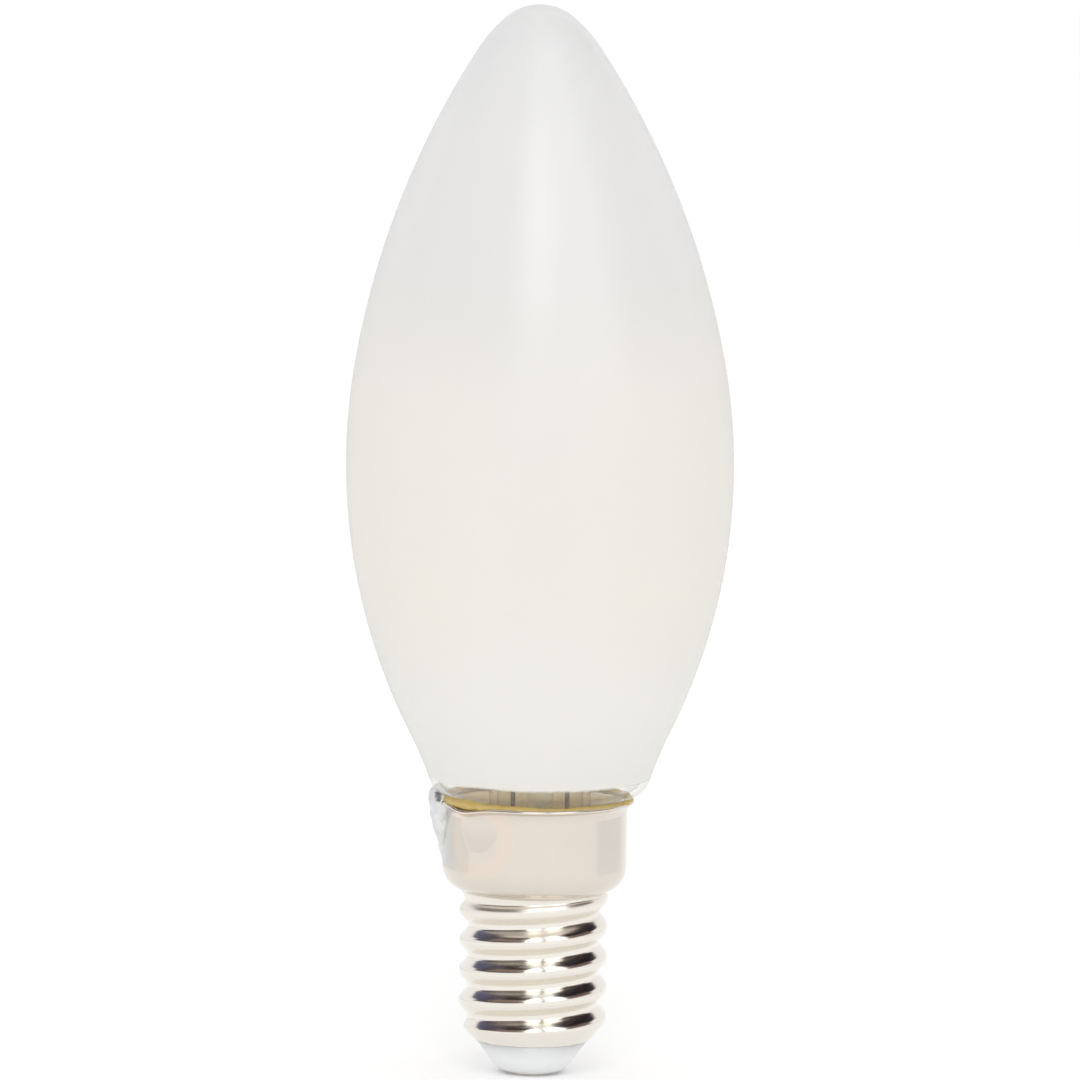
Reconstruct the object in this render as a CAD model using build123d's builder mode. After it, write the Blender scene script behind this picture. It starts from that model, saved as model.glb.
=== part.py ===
"""Candle LED filament lamp with a skirted E14 screw cap, in millimetres.

The cap stands on +Z with the centre of its contact at the origin. The glass is cemented in a little
out of true, so everything on the glass side is drawn on its own leaning planes.
"""
import os
from math import atan2, cos, hypot, radians, sin, sqrt, tan

from build123d import *

os.makedirs("parts", exist_ok=True)

# Screw cap: one drawn sheet, with a rolled round thread
SHEET = 0.3
THREAD_PITCH = 2.822
CREST_R = 6.83
ROOT_R = 6.08
CREST_ARC = 0.65
THREAD_TURNS = 4
FIRST_CREST_Z = 5.27
CAP_FOOT_Z = 3.1
CAP_FOOT_R = 5.2
CAP_FOOT_SLOPE = 0.4
CAP_HOLE_R = 4.7
COLLAR_Z = 16.2
COLLAR_R = 6.63
SKIRT_FOOT_Z = 17.0
SKIRT_R = 8.5
SHOULDER_EDGE = (0.6, 0.3)
SHOULDER_HEIGHT = 2.0
FLARE_Z = 24.4
LIP_R = 9.15
LIP_Z = 25.4
RIM_SAG = 0.45
RIM_SAG_R = 8.0
RIM_SAG_TURN = 222
DENT_TURN = 232
DENT_FOOT_Z = 21.4
DENT_DEPTH = 0.36

# Insulator and contact under the cap
CONTACT_R = 2.3
CONTACT_Z = 0.45
CONTACT_EDGE = 0.15
SHANK_R = 1.0
SHANK_FLOOR_Z = 1.2
RIVET_HEAD = (1.5, 0.4)
INSULATOR_FOOT = (2.5, 0.3)
INSULATOR_HEEL = (2.92, 0.6)
INSULATOR_TOP_Z = 5.0
PLUG_R = 5.5
PLUG_EDGE = (0.4, 0.6)
DISH = (1.8, 4.5, 0.6)

# Blown bulb: arcs from the crown down, as radius and turn; a minus sign turns outwards
BULB_TOP_Z = 98.98
BULB_ARCS = (
    (4.74, 39.86),
    (13.2, 17.14),
    (77.69, 23.1),
    (55.2, 36.49),
    (-35.7, 7.67),
    (2.6, 46.1),
    (-2.2, 65.02),
)
GLASS_WALL = 0.6
NECK_END_Z = 19.6

# How the glass sits in the cap
GLASS_LEAN = 0.9
NECK_SHIFT = 0.43

# Stem, sealed to the end of the neck
STEM_R = 4.7
STEM_WALL = 0.7
STEM_TUBE_Z = 29.0
STEM_ROOF_Z = 32.8
PRESS_Z = 32.5
PRESS_TOP_Z = 37.0
PRESS_SIZE = (9.4, 3.2)
PRESS_ROUND = 1.2
EXHAUST_R = 1.3
EXHAUST_BORE_R = 0.7
EXHAUST_TIP_Z = 24.7
EXHAUST_WELL = 0.3
EXHAUST_TOP_Z = 34.0
BLOW_HOLE_Z = 33.2
BLOW_HOLE_R = 0.6
COLUMN_R = 1.4
BUTTON_R = 2.3
BUTTON_Z = 72.0

# Filaments, leaning in towards the top, and the wires that hold them
FILAMENT_TURNS = (45, 135, 225, 315)
FILAMENT_FOOT = (7.0, 40.2)
FILAMENT_TOP = (3.7, 72.0)
FILAMENT_SIZE = (1.5, 1.2)
FILAMENT_ROUND = 0.5
TAB_SIZE = (0.9, 0.25)
TAB_LENGTH = 1.8
TAB_OVERLAP = 0.4
LEAD_WIRE_R = 0.22
LEAD_X = 2.5
LEAD_FOOT_Z = 15.4
LEAD_BEND_Z = 38.9
LEAD_BEND_R = 1.2
CROSS_WIRE_R = 0.3
CROSS_WIRE_SHORT = 0.15
ANCHOR_WIRE_R = 0.25
ANCHOR_STEP = 0.5
ANCHOR_ARM_X = 2.4
ANCHOR_BEND_R = 0.6

# Cement and solder at the rim
CEMENT_FOOT_Z = 19.9
CEMENT_RIM = (8.53, 25.15)
CEMENT_INNER_TOP_Z = 25.35
SOLDER_X = -8.4
SOLDER_SECTIONS = (
    (19.7, 0.12, 0.25),
    (21.2, 0.47, 0.9),
    (22.6, 0.93, 1.8),
    (24.0, 1.36, 2.6),
    (25.4, 1.44, 3.0),
    (26.4, 1.35, 2.5),
)
SOLDER_ROUND = 0.6
NEUTRAL_WIRE_R = 0.22
NEUTRAL_BEND_R = 0.25
NEUTRAL_ROUTE = (
    (-4.6, 15.4),
    (-4.6, 17.6),
    (-7.0, 18.2),
    (-7.65, 19.3),
    (-7.8, 24.2),
    (-8.3, 25.4),
    (-8.95, 25.75),
    (-9.5, 25.5),
    (-9.5, 24.6),
)

# Driver, upright inside the thread
BOARD_SIZE = (10.2, 12.0)
BOARD_THICK = 0.8
BOARD_FACE_Y = 0.27
BOARD_Z = 11.9
BOARD_CORNER = 0.5
SLEEVE_R = 5.6
SLEEVE_WALL = 0.25
SLEEVE_Z = (5.7, 17.2)
CAPACITOR_R = 2.0
CAPACITOR_Z = (8.0, 15.0)
CAPACITOR_GAP = 0.1
CAPACITOR_ROUND = 0.3
CAPACITOR_LEAD_R = 0.2
CAPACITOR_LEAD_BEND_R = 0.4
CAPACITOR_LEAD_GAP = 1.5
CAPACITOR_LEAD_Z = 7.0
CHIP_STAND = 0.1
CHIP_TAPER = 6
CHIP_LEAD = 0.8
CHIP_LEAD_WIDTH = 0.4
CHIP_LEAD_THICK = 0.2
CHIPS = (
    ("bridge_rectifier", (2.1, 12.4), (4.7, 3.2, 2.2), (2, 2)),
    ("driver_ic", (2.1, 8.1), (4.7, 2.6, 1.3), (2, 4)),
    ("sense_resistor_1", (-3.0, 8.4), (2.0, 1.2, 0.5), ()),
    ("sense_resistor_2", (-3.0, 10.6), (2.0, 1.2, 0.5), ()),
    ("inlet_resistor", (0.5, 16.2), (2.0, 1.2, 0.5), ()),
)
FUSE_R = 1.0
FUSE_ROUND = 0.4
FUSE_Z = (7.4, 12.2)
FUSE_X = -2.4
FUSE_Y = -3.2
LIVE_WIRE_R = 0.25
LIVE_BEND_Z = 5.8
LIVE_BEND_R = 0.4
LIVE_WIRE_RISE = 0.35
FUSE_LEAD_R = 0.2
FUSE_LEAD_Z = 13.2
FUSE_LEAD_BEND_R = 0.5
PAD_Z = 16.0
PAD_SOLDER_R = 0.6
PAD_SOLDER_HEIGHT = 0.65
PAD_SOLDER_TAPER = 20

lean = radians(GLASS_LEAN)
glass_foot = (NECK_SHIFT + LIP_Z * tan(lean), 0, 0)
glass_across = (cos(lean), 0, sin(lean))
glass_up = (-sin(lean), 0, cos(lean))
glass_axis = Axis(glass_foot, glass_up)
glass_level = Plane(glass_foot, x_dir=glass_across, z_dir=glass_up)
glass_section = Plane(glass_foot, x_dir=glass_across, z_dir=(0, -1, 0))


def save(piece, name):
    """Label a finished piece and write it under its own name."""
    piece.part.label = name
    export_step(piece.part, f"parts/{name}.step")


def turned(angle):
    """Upright section plane of the glass, turned about its axis by an angle in degrees."""
    side = glass_level.from_local_coords(Vector(cos(radians(angle)), sin(radians(angle)), 0))
    across = side - Vector(*glass_foot)
    return Plane(glass_foot, x_dir=across, z_dir=across.cross(Vector(*glass_up)))


# Screw cap

def thread_wave(inset):
    """Draw the rolled turns as round crests and roots, and return where the last one ends."""
    crest_r = CREST_R - inset
    root_r = ROOT_R - inset
    crest_arc = CREST_ARC - inset
    drop = root_r - (crest_r - crest_arc)
    half = THREAD_PITCH / 2
    root_arc = (crest_arc**2 - drop**2 - half**2) / (2 * (drop - crest_arc))
    share = crest_arc / (crest_arc + root_arc)
    flank_r = crest_r - crest_arc + (drop + root_arc) * share
    flank_z = half * share
    half_turn = atan2(half - flank_z, root_r + root_arc - flank_r) / 2
    hollow_r = root_r + root_arc * (1 - cos(half_turn))
    hollow_z = half - root_arc * sin(half_turn)
    for turn in range(THREAD_TURNS):
        z = FIRST_CREST_Z + turn * THREAD_PITCH
        ThreePointArc((root_r, z - half), (hollow_r, z - hollow_z), (flank_r, z - flank_z))
        ThreePointArc((flank_r, z - flank_z), (crest_r, z), (flank_r, z + flank_z))
        ThreePointArc((flank_r, z + flank_z), (hollow_r, z + hollow_z), (root_r, z + half))
    return root_r, z + half


def cap_form(inset):
    """Solid form of the cap; an inset of one sheet gives the hollow inside it."""
    foot_z = CAP_FOOT_Z + inset
    root_r = ROOT_R - inset
    collar_r = COLLAR_R - inset
    skirt_r = SKIRT_R - inset
    shoulder_z = SKIRT_FOOT_Z + inset
    with BuildPart() as outline:
        with BuildSketch(Plane.XZ):
            with BuildLine():
                Line((0, foot_z), (CAP_FOOT_R, foot_z))
                first_root = (root_r, FIRST_CREST_Z - THREAD_PITCH / 2)
                TangentArc((CAP_FOOT_R, foot_z), first_root, tangent=(1, CAP_FOOT_SLOPE))
                last_root = thread_wave(inset)
                Polyline(last_root, (collar_r, COLLAR_Z), (collar_r, shoulder_z))
                edge = (collar_r + SHOULDER_EDGE[0], shoulder_z + SHOULDER_EDGE[1])
                shoulder = Line((collar_r, shoulder_z), edge)
                bend = TangentArc(edge, (skirt_r, shoulder_z + SHOULDER_HEIGHT), tangent=shoulder % 1)
                Line(bend @ 1, (skirt_r, FLARE_Z))
                lip = TangentArc((skirt_r, FLARE_Z), (LIP_R - inset, LIP_Z), tangent=(0, 1))
                Polyline(lip @ 1, (0, LIP_Z), (0, foot_z))
            make_face()
        revolve(axis=Axis.Z)
    facet_tilt = atan2(DENT_DEPTH, LIP_Z - DENT_FOOT_Z)
    facet_out = (cos(radians(DENT_TURN)), sin(radians(DENT_TURN)))
    facet = Plane(
        (facet_out[0] * skirt_r, facet_out[1] * skirt_r, DENT_FOOT_Z),
        x_dir=(-facet_out[1], facet_out[0], 0),
        z_dir=(facet_out[0] * cos(facet_tilt), facet_out[1] * cos(facet_tilt), sin(facet_tilt)),
    )
    with BuildPart() as form:
        add(outline.part)
        with BuildSketch(facet):
            Rectangle(2 * SKIRT_R, 3 * (LIP_Z - DENT_FOOT_Z))
        extrude(amount=LIP_R, mode=Mode.SUBTRACT)
    return form


cap_solid = cap_form(0)
cap_hollow = cap_form(SHEET)
rim_sag_out = (cos(radians(RIM_SAG_TURN)), sin(radians(RIM_SAG_TURN)), 0)
rim_sag = Plane((0, 0, LIP_Z - RIM_SAG + RIM_SAG_R), z_dir=rim_sag_out)

with BuildPart() as cap_shell:
    add(cap_solid.part)
    add(cap_hollow.part, mode=Mode.SUBTRACT)
    with BuildSketch(Plane.XY.offset(CAP_FOOT_Z)):
        Circle(CAP_HOLE_R)
    extrude(amount=SHEET, mode=Mode.SUBTRACT)
    with BuildSketch(rim_sag):
        Circle(RIM_SAG_R)
    extrude(amount=2 * LIP_R, mode=Mode.SUBTRACT)
save(cap_shell, "cap_shell")

# Insulator: moulded round the closed-in lip of the cap

with BuildPart() as insulator:
    with BuildSketch(Plane.XZ):
        with BuildLine():
            Polyline(
                (SHANK_R, CONTACT_Z),
                (CONTACT_R, CONTACT_Z),
                (CONTACT_R, INSULATOR_FOOT[1]),
                INSULATOR_FOOT,
            )
            TangentArc(INSULATOR_FOOT, INSULATOR_HEEL, tangent=(1, 0))
            Polyline(
                INSULATOR_HEEL,
                (CAP_FOOT_R, CAP_FOOT_Z),
                (CAP_HOLE_R, CAP_FOOT_Z),
                (CAP_HOLE_R, CAP_FOOT_Z + SHEET),
                (PLUG_R - PLUG_EDGE[0], CAP_FOOT_Z + SHEET),
                (PLUG_R, CAP_FOOT_Z + SHEET + PLUG_EDGE[1]),
                (PLUG_R, INSULATOR_TOP_Z),
                (DISH[1], INSULATOR_TOP_Z),
                (DISH[1] - DISH[2], INSULATOR_TOP_Z - DISH[2]),
                (DISH[0], INSULATOR_TOP_Z - DISH[2]),
                (DISH[0], INSULATOR_TOP_Z),
                (SHANK_R, INSULATOR_TOP_Z),
                (SHANK_R, CONTACT_Z),
            )
        make_face()
    revolve(axis=Axis.Z)
save(insulator, "insulator")

with BuildPart() as centre_contact:
    with BuildSketch(Plane.XZ):
        with BuildLine():
            Polyline(
                (0, 0),
                (CONTACT_R - CONTACT_EDGE, 0),
                (CONTACT_R, CONTACT_EDGE),
                (CONTACT_R, CONTACT_Z),
                (SHANK_R, CONTACT_Z),
                (SHANK_R, INSULATOR_TOP_Z),
                (RIVET_HEAD[0], INSULATOR_TOP_Z),
                (SHANK_R, INSULATOR_TOP_Z + RIVET_HEAD[1]),
                (LIVE_WIRE_R, INSULATOR_TOP_Z + RIVET_HEAD[1]),
                (LIVE_WIRE_R, SHANK_FLOOR_Z),
                (0, SHANK_FLOOR_Z),
                close=True,
            )
        make_face()
    revolve(axis=Axis.Z)
save(centre_contact, "centre_contact")

# Blown envelope

def bulb_outline(inset):
    """Draw half the bulb from the crown to the end of the neck, and return its lowest point."""
    spot = Vector(0, BULB_TOP_Z - inset)
    heading = Vector(1, 0)
    for radius, turn in BULB_ARCS:
        side = 1 if radius > 0 else -1
        arc = JernArc(spot, heading, abs(radius) - side * inset, -side * turn)
        spot, heading = arc @ 1, arc % 1
    neck = Line(spot, (spot.X, NECK_END_Z))
    return neck @ 1


with BuildPart() as glass_envelope:
    with BuildSketch(glass_section):
        with BuildLine():
            outer_foot = bulb_outline(0)
            inner_foot = bulb_outline(GLASS_WALL)
            Line(outer_foot, inner_foot)
            Line((0, BULB_TOP_Z), (0, BULB_TOP_Z - GLASS_WALL))
        make_face()
    revolve(axis=glass_axis)
save(glass_envelope, "glass_envelope")
neck_r, neck_bore = outer_foot.X, inner_foot.X

with BuildPart(mode=Mode.PRIVATE) as glass_block:
    with BuildSketch(glass_section):
        with BuildLine():
            block_foot = bulb_outline(0)
            Polyline(block_foot, (0, NECK_END_Z), (0, BULB_TOP_Z))
        make_face()
    revolve(axis=glass_axis)

# Filaments, each with a metal tab at its foot and its top

tabs = []
for number, turn in enumerate(FILAMENT_TURNS, start=1):
    section = turned(turn)
    foot = section.from_local_coords(Vector(*FILAMENT_FOOT, 0))
    top = section.from_local_coords(Vector(*FILAMENT_TOP, 0))
    length = (top - foot).length
    level = Plane(foot, x_dir=section.z_dir, z_dir=top - foot)
    with BuildPart() as filament:
        with BuildSketch(level.offset(TAB_LENGTH)):
            RectangleRounded(*FILAMENT_SIZE, radius=FILAMENT_ROUND)
        extrude(amount=length - 2 * TAB_LENGTH)
    save(filament, f"filament_{number}")
    for start, tab_name in ((-TAB_OVERLAP, "foot_tab"), (length - TAB_LENGTH, "top_tab")):
        with BuildPart() as tab:
            with BuildSketch(level.offset(start)):
                Rectangle(*TAB_SIZE)
            extrude(amount=TAB_LENGTH + TAB_OVERLAP)
        tabs.append(tab)
        save(tab, f"filament_{number}_{tab_name}")

# Lead wires and the cross wires that they carry

foot_x = FILAMENT_FOOT[0] * cos(radians(45))
lead_wires = []
for side, name in ((-1, "left"), (1, "right")):
    cross_start = glass_level.from_local_coords(Vector(side * foot_x, 0, FILAMENT_FOOT[1]))
    with BuildPart() as cross_wire:
        with BuildSketch(Plane(cross_start, x_dir=glass_across, z_dir=(0, 1, 0))):
            Circle(CROSS_WIRE_R)
        extrude(amount=foot_x - CROSS_WIRE_SHORT, both=True)
        for tab in tabs:
            add(tab.part, mode=Mode.SUBTRACT)
    save(cross_wire, f"cross_wire_{name}")
    with BuildPart() as lead_wire:
        with BuildLine(glass_section) as route:
            FilletPolyline(
                (side * LEAD_X, LEAD_FOOT_Z),
                (side * LEAD_X, LEAD_BEND_Z),
                (side * foot_x, FILAMENT_FOOT[1]),
                radius=LEAD_BEND_R,
            )
        with BuildSketch(Plane(route.line @ 0, z_dir=route.line % 0)):
            Circle(LEAD_WIRE_R)
        sweep(path=route.line)
        add(cross_wire.part, mode=Mode.SUBTRACT)
    lead_wires.append(lead_wire)
    save(lead_wire, f"lead_in_{name}")

# Anchor wires: each joins the tops of two filaments that face each other

anchor_wires = []
for turn, step, name in ((45, -ANCHOR_STEP, "lower"), (135, ANCHOR_STEP, "upper")):
    with BuildPart() as anchor_wire:
        with BuildLine(turned(turn)) as route:
            FilletPolyline(
                (-FILAMENT_TOP[0], FILAMENT_TOP[1]),
                (-ANCHOR_ARM_X, BUTTON_Z + step),
                (ANCHOR_ARM_X, BUTTON_Z + step),
                (FILAMENT_TOP[0], FILAMENT_TOP[1]),
                radius=ANCHOR_BEND_R,
            )
        with BuildSketch(Plane(route.line @ 0, z_dir=route.line % 0)):
            Circle(ANCHOR_WIRE_R)
        sweep(path=route.line)
        for tab in tabs:
            add(tab.part, mode=Mode.SUBTRACT)
    anchor_wires.append(anchor_wire)
    save(anchor_wire, f"anchor_wire_{name}")

# Stem: flare, press, exhaust tube and column

flare_bend = neck_bore - STEM_R
bend_z = NECK_END_Z + flare_bend

with BuildPart() as exhaust_tube:
    with BuildSketch(glass_section):
        with BuildLine():
            tip = ThreePointArc(
                (0, EXHAUST_TIP_Z),
                (EXHAUST_R * sin(radians(45)), EXHAUST_TIP_Z + EXHAUST_R * (1 - cos(radians(45)))),
                (EXHAUST_R, EXHAUST_TIP_Z + EXHAUST_R),
            )
            Polyline(
                tip @ 1,
                (EXHAUST_R, EXHAUST_TOP_Z),
                (EXHAUST_BORE_R, EXHAUST_TOP_Z),
                (EXHAUST_BORE_R, EXHAUST_TIP_Z + EXHAUST_R + EXHAUST_WELL),
                (0, EXHAUST_TIP_Z + EXHAUST_R),
                (0, EXHAUST_TIP_Z),
            )
        make_face()
    revolve(axis=glass_axis)
    with BuildSketch(Plane(glass_level.from_local_coords(Vector(0, 0, BLOW_HOLE_Z)), z_dir=(0, -1, 0))):
        Circle(BLOW_HOLE_R)
    extrude(amount=PRESS_SIZE[1], mode=Mode.SUBTRACT)
save(exhaust_tube, "exhaust_tube")

with BuildPart() as stem_flare:
    with BuildSketch(glass_section):
        with BuildLine():
            Line((neck_r, NECK_END_Z), (neck_bore, NECK_END_Z))
            JernArc((neck_bore, NECK_END_Z), (-1, 0), flare_bend, -90)
            Line((STEM_R, bend_z), (STEM_R, STEM_TUBE_Z))
            Line((STEM_R, STEM_TUBE_Z), (STEM_R - STEM_WALL, STEM_TUBE_Z))
            Line((STEM_R - STEM_WALL, STEM_TUBE_Z), (STEM_R - STEM_WALL, bend_z))
            JernArc((neck_bore, NECK_END_Z - STEM_WALL), (-1, 0), flare_bend + STEM_WALL, -90)
            foot_z = NECK_END_Z - STEM_WALL
            Polyline((neck_bore, foot_z), (neck_r, foot_z), (neck_r, NECK_END_Z))
        make_face()
    revolve(axis=glass_axis)
    with BuildSketch(glass_level.offset(STEM_TUBE_Z)):
        Circle(STEM_R)
    with BuildSketch(glass_level.offset(PRESS_Z)):
        RectangleRounded(*PRESS_SIZE, radius=PRESS_ROUND)
    loft()
    with BuildSketch(glass_level.offset(PRESS_Z)):
        RectangleRounded(*PRESS_SIZE, radius=PRESS_ROUND)
    extrude(amount=PRESS_TOP_Z - PRESS_Z)
    with BuildSketch(glass_section):
        Polygon((0, STEM_TUBE_Z), (STEM_R - STEM_WALL, STEM_TUBE_Z), (0, STEM_ROOF_Z), align=None)
    revolve(axis=glass_axis, mode=Mode.SUBTRACT)
    with BuildSketch(glass_level.offset(STEM_TUBE_Z)):
        Circle(EXHAUST_R)
    extrude(amount=EXHAUST_TOP_Z - STEM_TUBE_Z, mode=Mode.SUBTRACT)
    with BuildSketch(Plane(glass_level.from_local_coords(Vector(0, 0, BLOW_HOLE_Z)), z_dir=(0, -1, 0))):
        Circle(BLOW_HOLE_R)
    extrude(amount=PRESS_SIZE[1], mode=Mode.SUBTRACT)
    for lead_wire in lead_wires:
        add(lead_wire.part, mode=Mode.SUBTRACT)
save(stem_flare, "stem_flare")

neck_z = BUTTON_Z - sqrt(BUTTON_R**2 - COLUMN_R**2)
with BuildPart() as stem_column:
    with BuildSketch(glass_section):
        with BuildLine():
            Polyline((0, BUTTON_Z + BUTTON_R), (0, PRESS_TOP_Z), (COLUMN_R, PRESS_TOP_Z), (COLUMN_R, neck_z))
            ThreePointArc((COLUMN_R, neck_z), (BUTTON_R, BUTTON_Z), (0, BUTTON_Z + BUTTON_R))
        make_face()
    revolve(axis=glass_axis)
    for anchor_wire in anchor_wires:
        add(anchor_wire.part, mode=Mode.SUBTRACT)
save(stem_column, "stem_column")

# Rim: neutral wire, cement and solder

with BuildPart() as neutral_wire:
    with BuildLine(Plane.XZ) as route:
        FilletPolyline(*NEUTRAL_ROUTE, radius=NEUTRAL_BEND_R)
    with BuildSketch(Plane(route.line @ 0, z_dir=route.line % 0)):
        Circle(NEUTRAL_WIRE_R)
    sweep(path=route.line)
save(neutral_wire, "neutral_wire")

with BuildPart() as basing_cement:
    with BuildSketch(Plane.XZ):
        with BuildLine():
            Polyline(
                (STEM_R, CEMENT_FOOT_Z),
                (SKIRT_R, CEMENT_FOOT_Z),
                (SKIRT_R, FLARE_Z),
                CEMENT_RIM,
                (STEM_R, CEMENT_INNER_TOP_Z),
                close=True,
            )
        make_face()
    revolve(axis=Axis.Z)
    add(cap_hollow.part, mode=Mode.INTERSECT)
    add(glass_block.part, mode=Mode.SUBTRACT)
    add(neutral_wire.part, mode=Mode.SUBTRACT)
save(basing_cement, "basing_cement")

with BuildPart() as rim_solder:
    for z, half_depth, half_width in SOLDER_SECTIONS:
        with BuildSketch(Plane.XY.offset(z)):
            with Locations((SOLDER_X, 0)):
                Ellipse(half_depth, half_width)
    loft()
    fillet(rim_solder.faces().sort_by(Axis.Z)[-1].edges(), SOLDER_ROUND)
    for neighbour in (cap_solid, glass_block, neutral_wire):
        add(neighbour.part, mode=Mode.SUBTRACT)
save(rim_solder, "rim_solder")

# Driver board and what is soldered to it

with BuildPart() as driver_board:
    with BuildSketch(Plane.XZ.offset(-BOARD_FACE_Y)):
        with Locations((0, BOARD_Z)):
            RectangleRounded(*BOARD_SIZE, radius=BOARD_CORNER)
        with Locations((FUSE_X, FUSE_LEAD_Z)):
            Circle(FUSE_LEAD_R, mode=Mode.SUBTRACT)
        with Locations((0, CAPACITOR_LEAD_Z)):
            with GridLocations(CAPACITOR_LEAD_GAP, 1, 2, 1):
                Circle(CAPACITOR_LEAD_R, mode=Mode.SUBTRACT)
    extrude(amount=-BOARD_THICK)
save(driver_board, "driver_board")

with BuildPart() as driver_sleeve:
    with BuildSketch(Plane.XY.offset(SLEEVE_Z[0])):
        Circle(SLEEVE_R)
        Circle(SLEEVE_R - SLEEVE_WALL, mode=Mode.SUBTRACT)
    extrude(amount=SLEEVE_Z[1] - SLEEVE_Z[0])
save(driver_sleeve, "driver_sleeve")


def chip(centre, body, lead_rows=0, leads_per_row=0):
    """Moulded chip on the front of the board, with rows of gull-wing leads if it has any."""
    face = Plane((centre[0], BOARD_FACE_Y, centre[1]), x_dir=(1, 0, 0), z_dir=(0, -1, 0))
    stand = CHIP_STAND if lead_rows else 0
    with BuildPart() as block:
        with BuildSketch(face.offset(stand)):
            Rectangle(body[0], body[1])
        extrude(amount=body[2], taper=CHIP_TAPER)
        if lead_rows:
            pitch = body[0] / (leads_per_row + 0.5)
            with BuildSketch(face):
                with GridLocations(pitch, body[1] + CHIP_LEAD, leads_per_row, lead_rows):
                    Rectangle(CHIP_LEAD_WIDTH, CHIP_LEAD)
            extrude(amount=CHIP_LEAD_THICK)
            with BuildSketch(face):
                with GridLocations(pitch, body[1], leads_per_row, lead_rows):
                    Rectangle(CHIP_LEAD_WIDTH, CHIP_LEAD / 3)
            extrude(amount=body[2] / 2)
    return block


for name, centre, body, leads in CHIPS:
    save(chip(centre, body, *leads), name)

capacitor_y = BOARD_FACE_Y + BOARD_THICK + CAPACITOR_GAP + CAPACITOR_R
with BuildPart() as smoothing_capacitor:
    with BuildSketch(Plane.XY.offset(CAPACITOR_Z[0])):
        with Locations((0, capacitor_y)):
            Circle(CAPACITOR_R)
    extrude(amount=CAPACITOR_Z[1] - CAPACITOR_Z[0])
    fillet(smoothing_capacitor.edges().filter_by(GeomType.CIRCLE), CAPACITOR_ROUND)
    for x in (-CAPACITOR_LEAD_GAP / 2, CAPACITOR_LEAD_GAP / 2):
        with BuildLine(Plane.YZ.offset(x)) as route:
            FilletPolyline(
                (capacitor_y, CAPACITOR_Z[0]),
                (capacitor_y, CAPACITOR_LEAD_Z),
                (BOARD_FACE_Y, CAPACITOR_LEAD_Z),
                radius=CAPACITOR_LEAD_BEND_R,
            )
        with BuildSketch(Plane(route.line @ 0, z_dir=route.line % 0)):
            Circle(CAPACITOR_LEAD_R)
        sweep(path=route.line)
save(smoothing_capacitor, "smoothing_capacitor")

# Fusible resistor in the live lead

fuse_reach = hypot(FUSE_X, FUSE_Y)
fuse_side = Plane((0, 0, 0), x_dir=(FUSE_X, FUSE_Y, 0), z_dir=(FUSE_Y, -FUSE_X, 0))
with BuildPart() as live_wire:
    with BuildLine(fuse_side) as route:
        FilletPolyline(
            (0, SHANK_FLOOR_Z),
            (0, LIVE_BEND_Z),
            (fuse_reach, LIVE_BEND_Z + LIVE_WIRE_RISE),
            (fuse_reach, FUSE_Z[0]),
            radius=LIVE_BEND_R,
        )
    with BuildSketch(Plane(route.line @ 0, z_dir=route.line % 0)):
        Circle(LIVE_WIRE_R)
    sweep(path=route.line)
save(live_wire, "live_wire")

with BuildPart() as fusible_resistor:
    with BuildSketch(Plane.XY.offset(FUSE_Z[0])):
        with Locations((FUSE_X, FUSE_Y)):
            Circle(FUSE_R)
    extrude(amount=FUSE_Z[1] - FUSE_Z[0])
    fillet(fusible_resistor.edges().filter_by(GeomType.CIRCLE), FUSE_ROUND)
save(fusible_resistor, "fusible_resistor")

with BuildPart() as fuse_lead:
    with BuildLine(Plane.YZ.offset(FUSE_X)) as route:
        FilletPolyline(
            (FUSE_Y, FUSE_Z[1]),
            (FUSE_Y, FUSE_LEAD_Z),
            (BOARD_FACE_Y + BOARD_THICK, FUSE_LEAD_Z),
            radius=FUSE_LEAD_BEND_R,
        )
    with BuildSketch(Plane(route.line @ 0, z_dir=route.line % 0)):
        Circle(FUSE_LEAD_R)
    sweep(path=route.line)
save(fuse_lead, "fuse_lead")

# Solder joints of the wires on the board's face

lead_shift = glass_foot[0] - PAD_Z * tan(lean)
for name, x in (
    ("lead_solder_left", lead_shift - LEAD_X),
    ("lead_solder_right", lead_shift + LEAD_X),
    ("neutral_solder", NEUTRAL_ROUTE[0][0]),
):
    with BuildPart() as pad:
        with BuildSketch(Plane((x, BOARD_FACE_Y, PAD_Z), x_dir=(1, 0, 0), z_dir=(0, -1, 0))):
            Circle(PAD_SOLDER_R)
        extrude(amount=PAD_SOLDER_HEIGHT, taper=PAD_SOLDER_TAPER)
        for wire in (*lead_wires, neutral_wire):
            add(wire.part, mode=Mode.SUBTRACT)
    save(pad, name)
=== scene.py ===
from math import atan2, cos, exp, hypot, log, pi, radians, sin, sqrt, tan

import bmesh
import bpy
from mathutils import Matrix, Vector, noise


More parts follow.
